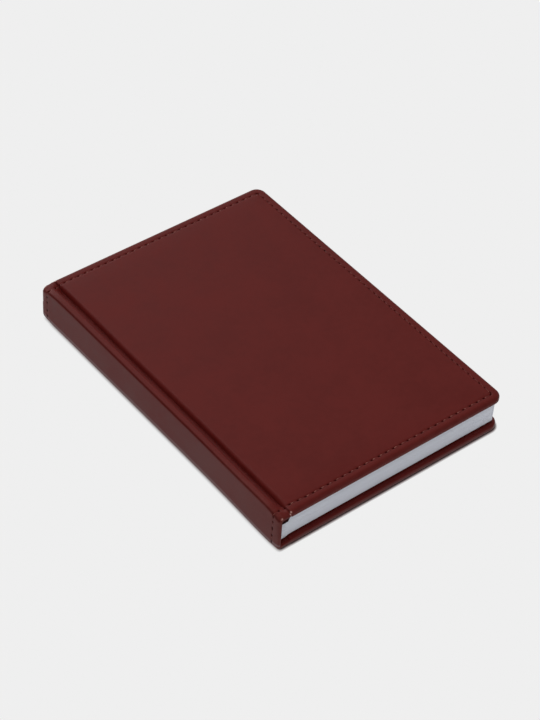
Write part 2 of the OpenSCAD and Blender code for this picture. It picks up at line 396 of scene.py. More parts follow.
# the back cover lies pressed flat on the table, and its side of the spine is rounder
backShape = {
    **caseShape,
    "softEdge": 0.12,
    "crown": 0.0,
    "spineR": 3.0,
    "creaseShade": 0.0,
    "rollIn": 1.7,
    "rollDown": 1.3,
    "endDrop": 0.3,
    "endRound": 0.5,
    "headLean": 0.0,
    # painted shade on the turned-in leather under the pages
    "shadeUnderPages": 0.3,
    "tuck": 0.0,
    "glintSpots": (),
    # painted reflection of the table along the spine's foot
    "footReflection": 0.85,
    "tailEnd": {**caseShape["tailEnd"], "foot": 0.5},
    "headEnd": {**caseShape["headEnd"], "tuck": 0.0},
}


def jointLine(shape, count=20):
    # spine face from mid-thickness up, a quarter round, the flat ridge, a fall into the groove that is part
    # straight and part smoothstep, and a quarter ellipse up to the panel; depths count down from the outside
    turn = np.linspace(math.pi, math.pi / 2, count)
    fall = np.linspace(0, 1, count)
    footX = shape["grooveX"] + shape["grooveBottom"]
    x = np.concatenate([[0.0], shape["spineR"] * (1 + np.cos(turn)),
                        shape["ridgeW"] + fall * (shape["grooveX"] - shape["ridgeW"]),
                        shape["shoulderX"] + (shape["shoulderX"] - footX) * np.cos(turn)])
    still = np.concatenate([[bookT / 2], shape["spineR"] * (1 - np.sin(turn)), np.zeros(2 * count)])
    sloping = shape["straightFall"] * fall + (1 - shape["straightFall"]) * smooth(fall)
    press = shape["grooveDepth"] * np.concatenate([np.zeros(count + 1), sloping, 1 - np.sin(turn)])
    # painted shade: its share across the spine's corner arc
    creaseShade = np.concatenate([[0.0], np.sin(2 * turn - math.pi) ** 2, np.zeros(2 * count)])
    onSpine = np.concatenate([np.ones(count + 1), np.zeros(2 * count)])
    onPanel = np.concatenate([np.zeros(2 * count + 1), smooth(2 * fall)])
    # painted shade along the groove's bottom
    endFoldShade = bell(x - shape["grooveX"] - shape["endFoldShadeAt"], shape["endFoldShadeW"])
    run = np.concatenate([[0], np.cumsum(np.hypot(np.diff(x), np.diff(still + press)))])
    return {"run": run, "x": x, "still": still, "press": press, "creaseShade": creaseShade, "endFoldShade": endFoldShade,
            "onSpine": onSpine, "onPanel": onPanel}


cornerRun = caseShape["cornerR"] * math.pi / 2
foreRun = halfH - caseShape["cornerR"]
panelRun = bookW - caseShape["cornerR"] - caseShape["shoulderX"]
forePitch = 2 * foreRun / caseShape["stitchesFore"]
pathEnd = foreRun + cornerRun / 2
for coverShape in (caseShape, backShape):
    coverShape["joint"] = jointLine(coverShape)
    coverShape["jointRun"] = coverShape["joint"]["run"][-1]
    coverShape["start"] = -(coverShape["jointRun"] + panelRun + cornerRun / 2)


def jointValue(shape, key, along):
    # a value of the joint's section at a distance along the outline
    return np.interp(along - shape["start"], shape["joint"]["run"], shape["joint"][key])


def tuckShare(jointX, inset, shape):
    # where the turned-in leather is pushed down between the ridge and the pages, just inside each end of the
    # joint: a bell curve from the edge inwards, between two smoothsteps across the ridge
    fromEdge = bell(inset - shape["tuckInset"], shape["tuckW"])
    pastSpine = smooth((jointX - shape["tuckFrom"]) / shape["tuckRun"])
    return fromEdge * pastSpine * (1 - smooth((jointX - shape["tuckTo"]) / shape["tuckFade"]))


def skinSurface(along, inset, drop, shape):
    # a point at a distance along the outline from the corner, set in from the edge, and down through the
    # case: straight runs joined by a corner arc, with the joint's section instead of the panel near the spine
    along, inset, drop = np.broadcast_arrays(along, inset, drop)
    turn = np.clip(along / cornerRun + 0.5, 0, 1) * math.pi / 2
    run = np.clip(along + cornerRun / 2 + panelRun, 0, panelRun)
    rise = np.clip(along - cornerRun / 2, 0, foreRun)
    middle = np.maximum(inset, shape["cornerR"])
    reach = np.maximum(shape["cornerR"] - inset, 0)
    panel = shape["shoulderX"] + run * (bookW - middle - shape["shoulderX"]) / panelRun + reach * np.sin(turn)
    y = middle - halfH + rise * (halfH - middle) / foreRun - reach * np.cos(turn)
    nearSpine = along < shape["start"] + shape["jointRun"]
    section = {key: jointValue(shape, key, along) for key in shape["joint"]}
    pressShare = smooth((inset - shape["pressFrom"]) / shape["pressRun"])
    fade = shape["endPress"] + (1 - shape["endPress"]) * pressShare
    soft = shape["softEdge"] * (1 - smooth(inset / shape["softRun"])) - shape["crown"]
    pressed = section["press"] * fade
    # the ridge drops and rounds off towards its ends, with small pleats, and its turned-in leather is tucked
    # down there
    jointX = section["x"]
    downFace = 1 - smooth((section["still"] - shape["spineR"]) / shape["endDropFade"])
    onRidge = 1 - smooth((jointX - shape["endDropFrom"]) / shape["endDropW"])
    drooping = shape["endDrop"] * onRidge * (1 - smooth(inset / shape["endDropRun"]))
    rounding = shape["endRound"] * (1 - smooth(jointX / shape["endRoundW"]))
    rounding = rounding * (1 - smooth(inset / shape["endRoundRun"]))
    pleats = shape["pleat"] * np.sin(jointX * math.pi / shape["pleatPitch"])
    pleats = pleats * bell(jointX - shape["pleatX"], shape["pleatW"])
    pleats = pleats * bell(inset - shape["pleatInset"], shape["pleatRun"])
    lowered = np.where(nearSpine, (drooping + rounding) * downFace + pleats, 0)
    tuck = shape["tuck"] * tuckShare(jointX, inset, shape)
    rolled = shape["endRoll"] * (1 - smooth(jointX / shape["endRollW"]))
    rolled = rolled * np.clip(1 - inset / shape["endRollRun"], 0, 1) ** 2
    outerX = np.where(nearSpine, jointX + rolled, panel)
    outerDepth = np.where(nearSpine, section["still"] + pressed, 0) + lowered
    ridgeDepth = np.where(section["onSpine"] > 0.5, np.maximum(section["still"], shape["ridgeT"]),
                          np.minimum(pressed + shape["ridgeT"], caseT))
    innerDepth = ridgeDepth + (caseT - ridgeDepth) * section["onPanel"]
    innerDepth = innerDepth + np.where(nearSpine, shape["innerDrop"] * lowered + tuck, 0)
    innerX = np.where(nearSpine, np.maximum(section["x"], shape["spineWall"]), panel)
    share = drop / caseT
    share = share + (1 - share) * np.where(section["onSpine"] > 0.5, 0, soft / caseT)
    depth = outerDepth + (innerDepth - outerDepth) * share
    return np.stack([outerX + (innerX - outerX) * share, y, bookT - depth], axis=-1)


def leaned(points, shape, outer):
    # the case sits a little askew: its outside leans out at both ends of the spine and in at the ridge's head
    # end, by smoothsteps along the spine that fade out towards the panel
    x, y = points[..., 0], points[..., 1]
    towardTail = shape["tailLean"] * smooth((-y - shape["leanFrom"]) / shape["leanRun"])
    towardHead = shape["headLean"] * smooth((y - shape["leanFrom"]) / shape["leanRun"])
    towardHead = towardHead * smooth(x / shape["headLeanW"])
    atHead = shape["headBulge"] * smooth((y - shape["bulgeFrom"]) / shape["bulgeRun"])
    atHead = atHead * (1 - smooth(x / shape["bulgeW"]))
    besidePanel = 1 - smooth((x - shape["leanTo"]) / shape["leanFade"])
    moved = points.copy()
    moved[..., 0] += outer * besidePanel * (towardHead - towardTail - atHead)
    return moved


def skinRings(shape):
    # set-in and drop from the middle of the outside, over the roll, round the edge and back along the inside
    quarter = np.linspace(0, math.pi / 2, 9)
    plain = np.geomspace(halfH, shape["stitchInset"] + 2.0, 11)
    seam = np.arange(shape["stitchInset"] + 1.6, shape["rollIn"] + 0.1, -shape["ringStep"])
    hidden = shape["turnR"] + np.array([*shape["hiddenRings"], shape["turnIn"] - shape["turnR"]])
    window = [shape["turnIn"] + 0.3, 30.0, halfH]
    inset = np.concatenate([plain, seam, shape["rollIn"] * (1 - np.sin(quarter)),
                            shape["turnR"] * (1 - np.cos(quarter)), hidden, window])
    drop = np.concatenate([np.zeros(len(plain) + len(seam)), shape["rollDown"] * (1 - np.cos(quarter)),
                           caseT - shape["turnR"] * (1 - np.sin(quarter)), np.full(len(hidden), caseT),
                           np.full(len(window), caseT - shape["turnInT"])])
    return inset[:, None], drop[:, None]


def fromCorner(seam):
    # a distance along the seam from its sharp corner, as a distance along the outline
    return seam + np.sign(seam) * cornerRun / 2


def skinColumns(shape):
    # distances along the outline: evenly along the seam, a few to a stitch, and evenly round the corner
    step = forePitch / shape["samplesPerStitch"]
    tail = fromCorner(np.arange(-step, shape["start"] + cornerRun / 2, -step))
    fore = fromCorner(np.arange(step, pathEnd - cornerRun / 2, step))
    corner = np.linspace(-cornerRun / 2, cornerRun / 2, 17)
    return np.unique(np.round(np.concatenate([[shape["start"]], tail, corner, fore, [pathEnd]]), 5))[None, :]


def seamInset(along, shape):
    # the seam's distance from the edge: that of the fore-edge beyond the corner, and a little more over the
    # joint, with smoothsteps between
    inset = shape["seam"] + (shape["foreSeam"] - shape["seam"]) * smooth(along / cornerRun + 0.5)
    pastJoint = smooth((along - shape["start"] - shape["jointRun"]) / shape["seamRun"])
    return inset + (shape["stitchInset"] - inset) * (1 - pastJoint)


def seamMarks(along, inset, shape):
    # how far the leather sinks in the seam's valley and needle holes, and how much painted shade is laid
    # there, all as bell curves
    seam = along - np.clip(along, -cornerRun / 2, cornerRun / 2)
    pitch = np.where(seam > 0, forePitch, shape["pitch"])
    toHole = (seam / pitch - np.round(seam / pitch)) * pitch
    fromSeam = inset - seamInset(along, shape)
    nearSpine = along < shape["start"] + shape["jointRun"]
    holeW = shape["holeW"] * np.where(nearSpine, shape["spineHole"], 1)
    hole = bell(fromSeam, holeW) * bell(toHole, shape["holeL"]) * np.where(seam > 0, shape["foreHole"], 1)
    hole = hole * (1 - shape["cornerEase"] * bell(along, cornerRun / 2))
    sink = shape["valley"] * bell(fromSeam, shape["valleyW"]) + shape["hole"] * hole
    # painted shade in the needle holes and along the seam's valley, scaled for the panel rows at each end
    dark = shape["holeShade"] * hole + shape["valleyShade"] * bell(fromSeam, shape["valleyShadeW"])
    onPanel = (seam < 0) & ~nearSpine
    return sink, dark * np.where(onPanel, shape["panelHoleShade"], 1)


def coverSkin(name, shape, isFront):
    # the surface over the whole grid for the tail half, and mirrored for the head half, with the values that
    # the leather's colour follows: wear, pressed and shaded places, dust and cracks
    inset, drop = skinRings(shape)
    along = skinColumns(shape)
    outside = drop < 0.5  # the flat outside and the start of its roll
    inside = drop > caseT - 0.2  # the turned-in leather, without the step in it
    outer = 1 - drop / caseT
    nearSpine = along < shape["start"] + shape["jointRun"]
    onSpine = np.where(nearSpine & (drop < shape["rollDown"]), jointValue(shape, "onSpine", along), 0)
    # painted shade along the spine's corner, and along the groove's bottom near the ends of the joint
    corner = jointValue(shape, "creaseShade", along)
    endFoldShade = shape["endFoldShade"] * np.where(nearSpine, jointValue(shape, "endFoldShade", along), 0)
    endFoldShade = endFoldShade * (1 - smooth((inset - shape["pressFrom"]) / shape["pressRun"]))
    creaseShade = np.maximum(shape["creaseShade"] * corner, endFoldShade)
    # painted shade on the tucked leather between the ridge and the pages, and on the turned-in leather under
    # the pages
    tucked = smooth(4 * tuckShare(jointValue(shape, "x", along), inset, shape))
    tucked = np.where(nearSpine & (shape["tuck"] > 0), tucked, 0)
    shadeUnderPages = shape["shadeUnderPages"] * smooth((inset - shape["shadeUnderFrom"]) / shape["shadeUnderRun"])
    shaded = np.maximum(shape["tuckShade"] * tucked, shadeUnderPages) * inside
    # lighter red at the rolled edges and towards the spine's ends: partly real wear, partly painted highlight
    wearAndLight = bell(drop - shape["wearAndLightDrop"], shape["wearAndLightDropW"]) * bell(inset, shape["wearAndLightW"]) + 0 * along
    endRubAndLight = shape["endRubAndLight"] * (1 - smooth((inset - shape["endRubAndLightFrom"]) / shape["endRubAndLightFade"]))
    fromFace = jointValue(shape, "still", along)
    # painted sheen: a greyish veil over the spine's face
    spineSheen = shape["spineSheen"] * smooth((fromFace - shape["sheenFrom"]) / shape["sheenRun"])
    halves = []
    for end in ("tailEnd", "headEnd"):
        endShape = {**shape, **shape[end]}
        sink, seamShade = seamMarks(along, inset, endShape)
        half = skinSurface(along, inset, drop + np.where(outside, sink, 0), endShape)
        fromMiddle = -half[..., 1]
        paintedGlint = np.zeros_like(wearAndLight)
        # painted glints: small pale spots on the creased leather at the ends of the joint
        for spotX, spotInset, size in shape["glintSpots"]:
            spot = bell(np.hypot(half[..., 0] - spotX, inset - spotInset), size)
            paintedGlint = np.maximum(paintedGlint, np.where((drop < shape["rollDown"]) & (half[..., 0] < 10), spot, 0))
        spineRubAndLight = endRubAndLight + endShape["rubAndLight"] * smooth((fromMiddle - shape["rubAndLightFrom"]) / shape["rubAndLightRun"])
        footShift = endShape["foot"] * smooth((fromMiddle - shape["footFrom"]) / shape["footRun"])
        # painted reflection of the pale table: a greyish line along the rounded foot of the spine
        footLine = fromFace - shape["footReflectionAt"] + shape["footReflectionShift"] * footShift
        footReflection = shape["footReflection"] * bell(footLine, shape["footReflectionW"])
        squared = footShift * outer * corner
        halves.append({"points": half + squared[..., None] * [-1, 0, 1],
                       "wearAndHighlight": np.maximum(wearAndLight, onSpine * spineRubAndLight),
                       "pressed": np.where(outside, np.maximum(seamShade, creaseShade), shaded),
                       "paintedSheen": onSpine * (spineSheen + footReflection),
                       "paintedGlint": paintedGlint})
    halves[1]["points"] = halves[1]["points"] * [1, -1, 1]
    both = {key: np.concatenate([halves[0][key], halves[1][key][:, ::-1]], axis=1) for key in halves[0]}
    points = leaned(both.pop("points"), shape, outer)
    if not isFront:
        points = points * [1, 1, -1] + [0, 0, bookT]
    return meshPiece(name, points, gridFaces(*points.shape[:2]), both, leather)


frontSkin = coverSkin("front_skin", caseShape, True)
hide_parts("front_leather", "spine_leather")
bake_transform(frontSkin)
backSkin = coverSkin("back_skin", backShape, False)
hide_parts("back_leather", "spine_leather")
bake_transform(backSkin)
print("case skins made")

# Stitches: two-ply thread that arches from hole to hole in the pressed seam, with painted light along the
# plies and a painted glint near one end of each stitch
stitchThread = {
    "radius": 0.22,
    "dip": 0.60,
    "top": 0.20,
    "slant": 0.16,
    "ply": 0.16,
    "colour": (0.090, 0.0065, 0.0040, 1),
    "plyHighlight": (0.150, 0.0250, 0.0200, 1),
    "threadGlint": (0.42, 0.17, 0.13, 1),
    "threadGlintAt": 0.27,
    "threadGlintL": 0.09,
    "threadGlintLow": 0.35,
    "foreThreadGlint": 0.4,
    "shown": (0.15, 0.85),
    "taper": 0.4,
    "arch": 0.6,
    "gloss": 0.2,
    "roughness": 0.5,
    "fibreScale": 3000,
    "fibreShare": 0.3,
    "relief": 0.3,
    "reliefDepth": 0.00003,
}


def threadMaterial(look):
    material, shader = newFinish("stitching_thread", Specular_IOR_Level=look["gloss"],
                                 Roughness=look["roughness"])
    fibre = noise(material, restPlace(material), look["fibreScale"], 2.0)
    # painted light and shade along the plies' twist, lighter on their crests
    colour = mixColour(material, pieceValue(material, "ply"), look["colour"], look["plyHighlight"])
    colour = mixColour(material, spread(material, fibre, 0, look["fibreShare"]), colour, look["colour"])
    # painted glint near one end of each stitch
    colour = mixColour(material, pieceValue(material, "threadGlint"), colour, look["threadGlint"])
    material.node_tree.links.new(colour, shader.inputs["Base Color"])
    bumped(material, shader, fibre, look["relief"], look["reliefDepth"])
    return material


thread = threadMaterial(stitchThread)


def stitchTubes(look, shape):
    # tubes of eight by seven points along one end and half the fore-edge; the height over the leather is a
    # power of a half sine from hole to hole, and the radius swells twice in a turn, as two plies wind round
    first = math.ceil((shape["start"] + cornerRun / 2) / shape["pitch"])
    last = math.floor(foreRun / forePitch)
    starts = np.concatenate([np.arange(first, 0) * shape["pitch"], np.arange(last) * forePitch])
    length = np.where(starts < 0, shape["pitch"], forePitch)
    share = np.linspace(*look["shown"], 8)
    around = np.linspace(0, 2 * math.pi, 7, endpoint=False)
    along = fromCorner(starts[:, None] + share * length[:, None])[:, :, None]
    small = 0.05
    seam = seamInset(along, shape)
    middle = skinSurface(along, seam, 0, shape)
    forward = skinSurface(along + small, seam, 0, shape) - skinSurface(along - small, seam, 0, shape)
    across = skinSurface(along, seam + small, 0, shape) - skinSurface(along, seam - small, 0, shape)
    outward = np.cross(across, forward)
    outward = outward / np.linalg.norm(outward, axis=-1, keepdims=True)
    across = across / np.linalg.norm(across, axis=-1, keepdims=True)
    outward = outward * np.where(outward[..., 2:] - outward[..., :1] < 0, -1, 1)
    wave = np.sin(math.pi * share)[None, :, None]
    ply = np.cos(2 * around - 2 * math.pi * share[:, None])[None]
    radius = look["radius"] * (1 - look["taper"] + look["taper"] * wave) * (1 + look["ply"] * ply)
    height = -look["dip"] + (look["dip"] - look["top"]) * wave ** look["arch"] + radius * np.sin(around)
    aside = look["slant"] * np.cos(math.pi * share)[None, :, None] + radius * np.cos(around)
    points = middle + outward * height[..., None] + across * aside[..., None]
    plyShade = np.broadcast_to(smooth(0.5 + 0.5 * ply), points.shape[:-1])
    # painted glint: a pale spot near one end of each stitch, fainter on the fore-edge
    bright = rng.uniform(look["threadGlintLow"], 1.0, len(points)) * np.where(starts > 0, look["foreThreadGlint"], 1)
    threadGlint = bright[:, None, None] * bell(share - look["threadGlintAt"], look["threadGlintL"])[None, :, None] + 0 * plyShade
    return points, plyShade, threadGlint


def coverStitches(name, look, shape, isFront):
    # both ends' tubes in one mesh, the head's mirrored
    tail, tailPly, tailThreadGlint = stitchTubes(look, {**shape, **shape["tailEnd"]})
    head, headPly, headThreadGlint = stitchTubes(look, {**shape, **shape["headEnd"]})
    points = leaned(np.concatenate([tail, head * [1, -1, 1]]), shape, 1)
    if not isFront:
        points = points * [1, 1, -1] + [0, 0, bookT]
    values = {"ply": np.concatenate([tailPly, headPly]), "threadGlint": np.concatenate([tailThreadGlint, headThreadGlint])}
    one = gridFaces(*points.shape[1:3], closed=True)
    faces = (np.arange(len(points))[:, None, None] * points.shape[1] * points.shape[2] + one).reshape(-1, 4)
    return meshPiece(name, points, faces, values, thread)


frontStitches = coverStitches("front_stitches", stitchThread, caseShape, True)
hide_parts("front_stitching", "spine_stitching")
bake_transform(frontStitches)
backStitches = coverStitches("back_stitches", stitchThread, backShape, False)
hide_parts("back_stitching", "spine_stitching")
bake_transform(backStitches)
print("stitches made")

# Pages: bluish white leaves with fine streaks on the cut edges, painted shade on the edges near the covers,
# and pale ruled lines on the faces
pageFinish = {
    "sheet": (0.845, 0.873, 0.955, 1),
    "shade": (0.74, 0.76, 0.84, 1),
    # colour of the painted shade on the leaf edges near the covers
    "dim": (0.25, 0.23, 0.25, 1),
    "rule": (0.42, 0.47, 0.56, 1),
    "ruleStep": 7.0,
    "ruleW": 0.16,
    "ruleMargin": 9.0,
    "roughness": 0.75,
    "gloss": 0.2,
    "streakScale": (60, 60, 16000),
    "streakShare": 0.4,
    "fibreScale": 900,
    "fibreShare": 0.12,
    "relief": 0.25,
    "reliefDepth": 0.00004,
}


def pageMaterial(name, look, ruled):
    material, shader = newFinish(name, Roughness=look["roughness"], Specular_IOR_Level=look["gloss"])
    streak = noise(material, restPlace(material, look["streakScale"]), 1.0, 2.0)
    edge = mixColour(material, spread(material, streak, 0, look["streakShare"]), look["sheet"], look["shade"])
    # painted shade on the leaf edges near each cover
    edge = mixColour(material, pieceValue(material, "shadeNearCover"), edge, look["dim"])
    fibre = noise(material, restPlace(material), look["fibreScale"], 4.0)
    face = mixColour(material, spread(material, fibre, 0, look["fibreShare"]), look["sheet"], look["shade"])
    if ruled:
        place = addNode(material, "ShaderNodeSeparateXYZ", {"Vector": restPlace(material, (1 / mm,) * 3)})
        fromLine = calculate(material, "PINGPONG", place.outputs["Y"], look["ruleStep"] / 2)
        onLine = calculate(material, "LESS_THAN", fromLine, look["ruleW"])
        middleX = (gutterX + foreX) / 2 + cadBox[0].x / mm
        fromMiddle = calculate(material, "SUBTRACT", place.outputs["X"], middleX)
        inX = calculate(material, "LESS_THAN", calculate(material, "ABSOLUTE", fromMiddle),
                        (foreX - gutterX) / 2 - look["ruleMargin"])
        inY = calculate(material, "LESS_THAN", calculate(material, "ABSOLUTE", place.outputs["Y"]),
                        pageHalfH - 1.5 * look["ruleMargin"])
        line = calculate(material, "MULTIPLY", calculate(material, "MULTIPLY", onLine, inX), inY)
        face = mixColour(material, line, face, look["rule"])
    colour = mixColour(material, pieceValue(material, "pageFace"), edge, face)
    material.node_tree.links.new(colour, shader.inputs["Base Color"])
    bumped(material, shader, streak, look["relief"], look["reliefDepth"])
    return material


pagePaper = pageMaterial("page_paper", pageFinish, True)
endPaper = pageMaterial("endpaper", pageFinish, False)

# Leaves and sections: a stack of leaves from its fold to the fore-edge, sagging a little at the folds' ends
pageStack = {
    "leaves": 16,
    "uneven": 0.022,
    "sagLow": 1.0,
    "sagHigh": 2.4,
    "sagFrom": 5.5,
    "sagRun": 4.5,
    "sagEnd": 7.0,
    "gap": 0.1,
    "foldFrom": 5.2,
    "foldStep": 0.8,
    "bendRun": 6.0,
    "bendRows": 13,
    "plainX": (24, 60, 100),
    "foreRun": 2.0,
    "endRows": (0.4, 2.0, 4.5, 8.0, 14.0),
    "short": 0.5,
    "singleFold": 0.7,
    "dimLow": 0.14,
    "dimLowAt": 0.5,
    "dimLowRun": 2.0,
    "dimHigh": 0.14,
    "dimHighAt": 2.3,
    "dimHighRun": 3.5,
}


def leafStack(name, nodes, leaves, finish, shape=pageStack):
    # loops of leaf edges at tail and head carried from the fold to the fore-edge; the fold is a half round,
    # and both ends sag by a smooth fall towards the fold, with the square of the height in the block
    low, high = nodeBox(nodes[0])
    middleZ = (low[2] + high[2]) / 2
    thick = high[2] - low[2]
    edges = (np.arange(leaves)[:, None] + [shape["gap"], 1 - shape["gap"]]).ravel() / leaves - 0.5
    uneven = np.repeat(rng.normal(0, shape["uneven"], (2, leaves)), 2, axis=1)
    edges[0], edges[-1] = -0.5, 0.5
    halfY = pageHalfH - (0 if leaves > 1 else shape["short"])
    inward = halfY - np.array(shape["endRows"])
    across = np.concatenate([-inward, inward[::-1]])
    loopY = np.concatenate([uneven[0] - halfY, across, halfY - uneven[0][::-1], across[::-1]])
    loopZ = np.concatenate([edges, np.full(len(across), 0.5), edges[::-1], np.full(len(across), -0.5)])
    loopX = np.concatenate([uneven[1], np.full(len(across), uneven[1][-1]), uneven[1][::-1],
                            np.full(len(across), uneven[1][0])])
    onFace = np.tile(np.concatenate([np.zeros(2 * leaves), np.ones(len(across))]), 2)
    quarter = np.linspace(0, math.pi / 2, 5)
    start = foldX if leaves > 1 else foldX + shape["singleFold"]
    columns = np.concatenate([start + thick / 2 * (1 - np.cos(quarter)),
                              np.arange(shape["foldFrom"], gutterX, shape["foldStep"]),
                              np.linspace(gutterX, gutterX + shape["bendRun"], shape["bendRows"]),
                              shape["plainX"], [foreX - shape["foreRun"], foreX]])
    fullness = np.concatenate([np.sin(quarter), np.ones(len(columns) - len(quarter))])
    x = columns[:, None] + loopX * smooth((columns[:, None] - foreX + shape["foreRun"]) / shape["foreRun"])
    y = np.broadcast_to(loopY, x.shape)
    z = middleZ + thick * loopZ * fullness[:, None]
    points = np.stack([x, y, z], axis=-1)
    faces = gridFaces(*x.shape, closed=True)
    # fore-edge: rows of leaf edges between the tail and head ends of the last loop
    capY = np.concatenate([[0], across, [0]])
    capY = np.broadcast_to(capY, (2 * leaves, len(capY))).copy()
    capY[:, 0] = uneven[0] - halfY
    capY[:, -1] = halfY - uneven[0]
    capX = np.broadcast_to(foreX + uneven[1][:, None], capY.shape)
    capZ = np.broadcast_to(middleZ + thick * edges[:, None], capY.shape)
    cap = np.stack([capX, capY, capZ], axis=-1)
    capFaces = gridFaces(*capY.shape) + points.shape[0] * points.shape[1]
    faceShare = np.concatenate([np.broadcast_to(onFace, x.shape).ravel(), np.zeros(capY.size)])
    every = np.concatenate([points.reshape(-1, 3), cap.reshape(-1, 3)])
    # painted shade on the leaf edges close to the back and front covers
    shadeNearCover = shape["dimLow"] * bell(every[:, 2] - caseT - shape["dimLowAt"], shape["dimLowRun"])
    fromFront = every[:, 2] - insideZ + shape["dimHighAt"]
    shadeNearCover = shadeNearCover + shape["dimHigh"] * bell(fromFront, shape["dimHighRun"])
    share = ((every[:, 2] - caseT) / (insideZ - caseT)) ** 2
    sagging = shape["sagLow"] + (shape["sagHigh"] - shape["sagLow"]) * share
    sagging = sagging * (1 - smooth((every[:, 0] - shape["sagFrom"]) / shape["sagRun"]))
    atEnd = smooth(1 - (pageHalfH - np.abs(every[:, 1])) / shape["sagEnd"])
    every[:, 2] -= sagging * atEnd
    values = {"pageFace": faceShare, "shadeNearCover": shadeNearCover}
    piece = meshPiece(name, every, np.concatenate([faces, capFaces]), values, finish)
    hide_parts(*nodes)
    return piece


def turningStack(name, node, leaves, finish):
    # leaves that turn: a stack built like the others, its placing baked into the mesh and no body attached
    piece = leafStack(name, [node, "section_folds"], leaves, finish)
    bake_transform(piece)
    return piece


turning = {"section_%02d" % index for index in (1, 2, 3, 4, 9, 10, 11)}
for index in range(1, 12):
    sectionNode = "section_%02d" % index
    if sectionNode in turning:
        turningStack(sectionNode + "_leaves", sectionNode, pageStack["leaves"], pagePaper)
    else:
        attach(leafStack(sectionNode + "_leaves", [sectionNode], pageStack["leaves"], pagePaper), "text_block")
for leafNode in ("first_leaf", "second_leaf"):
    turningStack(leafNode + "_sheet", leafNode, 1, pagePaper)
for leafNode in ("front_flyleaf", "back_flyleaf"):
    turningStack(leafNode + "_sheet", leafNode, 1, endPaper)
print("pages made")

# Endpapers inside the covers: glued over the turn-ins, with a hinge of paper that opens out of the joint
endpaperShape = {
    "thick": 0.12,
    "margin": 4.5,
    "stub": 0.8,
    "hingeRows": 25,
    "hingeGap": 0.2,
    "hingeDip": 0.07,
    "below": 0.2,
    "step": 0.45,
    "stepRun": 1.4,
    "stepRows": 7,
    "hingeSide": 3.0,
    "plainX": (30, 80),
    "plainY": (0, 40),
    "nearStep": 4.0,
    "nearEdge": 3.0,
}


def coverEndpaper(name, node, shape, isFront):
    # a slab of two grids: from a stub beside the gutter, through closely packed hinge rows, across the
    # cover's inside; it rises by a smooth step from the turned-in leather to the bare board
    hingeEnd = gutterX + shape["hingeGap"] / 2
    far = bookW - shape["margin"]
    stepX = bookW - caseShape["turnIn"] - shape["stepRun"]
    stepRows = shape["stepRun"] * np.linspace(-1, 1, shape["stepRows"])
    columns = np.concatenate([np.linspace(hingeEnd - shape["stub"], hingeEnd - shape["hingeGap"], 3),
                              np.linspace(hingeEnd - shape["hingeGap"], hingeEnd, shape["hingeRows"])[1:],
                              [hingeEnd + shape["hingeSide"] / 2, *shape["plainX"]],
                              [stepX - shape["nearStep"]], stepX + stepRows, [far - shape["nearEdge"], far]])
    edgeY = halfH - shape["margin"]
    stepY = halfH - caseShape["turnIn"] - shape["stepRun"]
    up = np.concatenate([shape["plainY"], [stepY - shape["nearStep"]], stepY + stepRows,
                         [edgeY - shape["nearEdge"], edgeY]])
    rows = np.concatenate([-up[:0:-1], up])
    x, y = np.meshgrid(columns, rows, indexing="ij")
    inWindow = smooth(0.5 + (stepX - x) / shape["stepRun"] / 2)
    inWindow = inWindow * smooth(0.5 + (stepY - np.abs(y)) / shape["stepRun"] / 2)
    inWindow = inWindow * smooth((x - hingeEnd) / shape["hingeSide"])
    hinge = smooth((x - hingeEnd + shape["hingeGap"]) / shape["hingeGap"])
    low = insideZ - shape["below"] + shape["hingeDip"] * hinge + shape["step"] * inWindow
    lower = np.stack([x, y, low], axis=-1)
    upper = lower + [0, 0, shape["thick"]]
    count = x.size
    index = np.arange(count).reshape(x.shape)
    rim = np.concatenate([index[:, 0], index[-1, 1:], index[-2::-1, -1], index[0, -2:0:-1]])
    after = np.roll(rim, -1)
    sides = np.stack([rim, after, after + count, rim + count], axis=-1)
    grid = gridFaces(*x.shape)
    points = np.stack([lower, upper])
    if not isFront:
        points = points * [1, 1, -1] + [0, 0, bookT]
    faces = np.concatenate([grid, grid + count, sides])
    piece = meshPiece(name, points, faces, {"pageFace": 1.0}, endPaper)
    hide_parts(node)
    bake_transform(piece)
    return piece


coverEndpaper("front_endpaper", "front_pastedown", endpaperShape, True)
coverEndpaper("back_endpaper", "back_pastedown", endpaperShape, False)
print("endpapers made")

# Inner layers that keep their solids: boards, padding, mull, lining and sewing thread
innerFinish = {
    "greyboard": {"light": (0.40, 0.38, 0.34, 1), "dark": (0.28, 0.26, 0.23, 1),
                  "scale": 1400, "stretch": (1, 1, 1)},
    "padding": {"light": (0.80, 0.79, 0.74, 1), "dark": (0.62, 0.60, 0.54, 1),
                "scale": 2200, "stretch": (1, 1, 1)},
    "mull": {"light": (0.78, 0.74, 0.62, 1), "dark": (0.45, 0.41, 0.32, 1),
             "scale": 1, "stretch": (900, 900, 900)},
    "kraft_paper": {"light": (0.50, 0.35, 0.21, 1), "dark": (0.38, 0.25, 0.14, 1),
                    "scale": 600, "stretch": (1, 1, 3)},
    "sewing_thread": {"light": (0.82, 0.80, 0.74, 1), "dark": (0.60, 0.57, 0.50, 1),
                      "scale": 1, "stretch": (900, 900, 4000)},
}
innerNodes = {
    "greyboard": ("front_board", "back_board"),
    "padding": ("front_foam", "back_foam"),
    "mull": ("spine_mull",),
    "kraft_paper": ("spine_lining",),
    "sewing_thread": ("sewing_thread",),
}


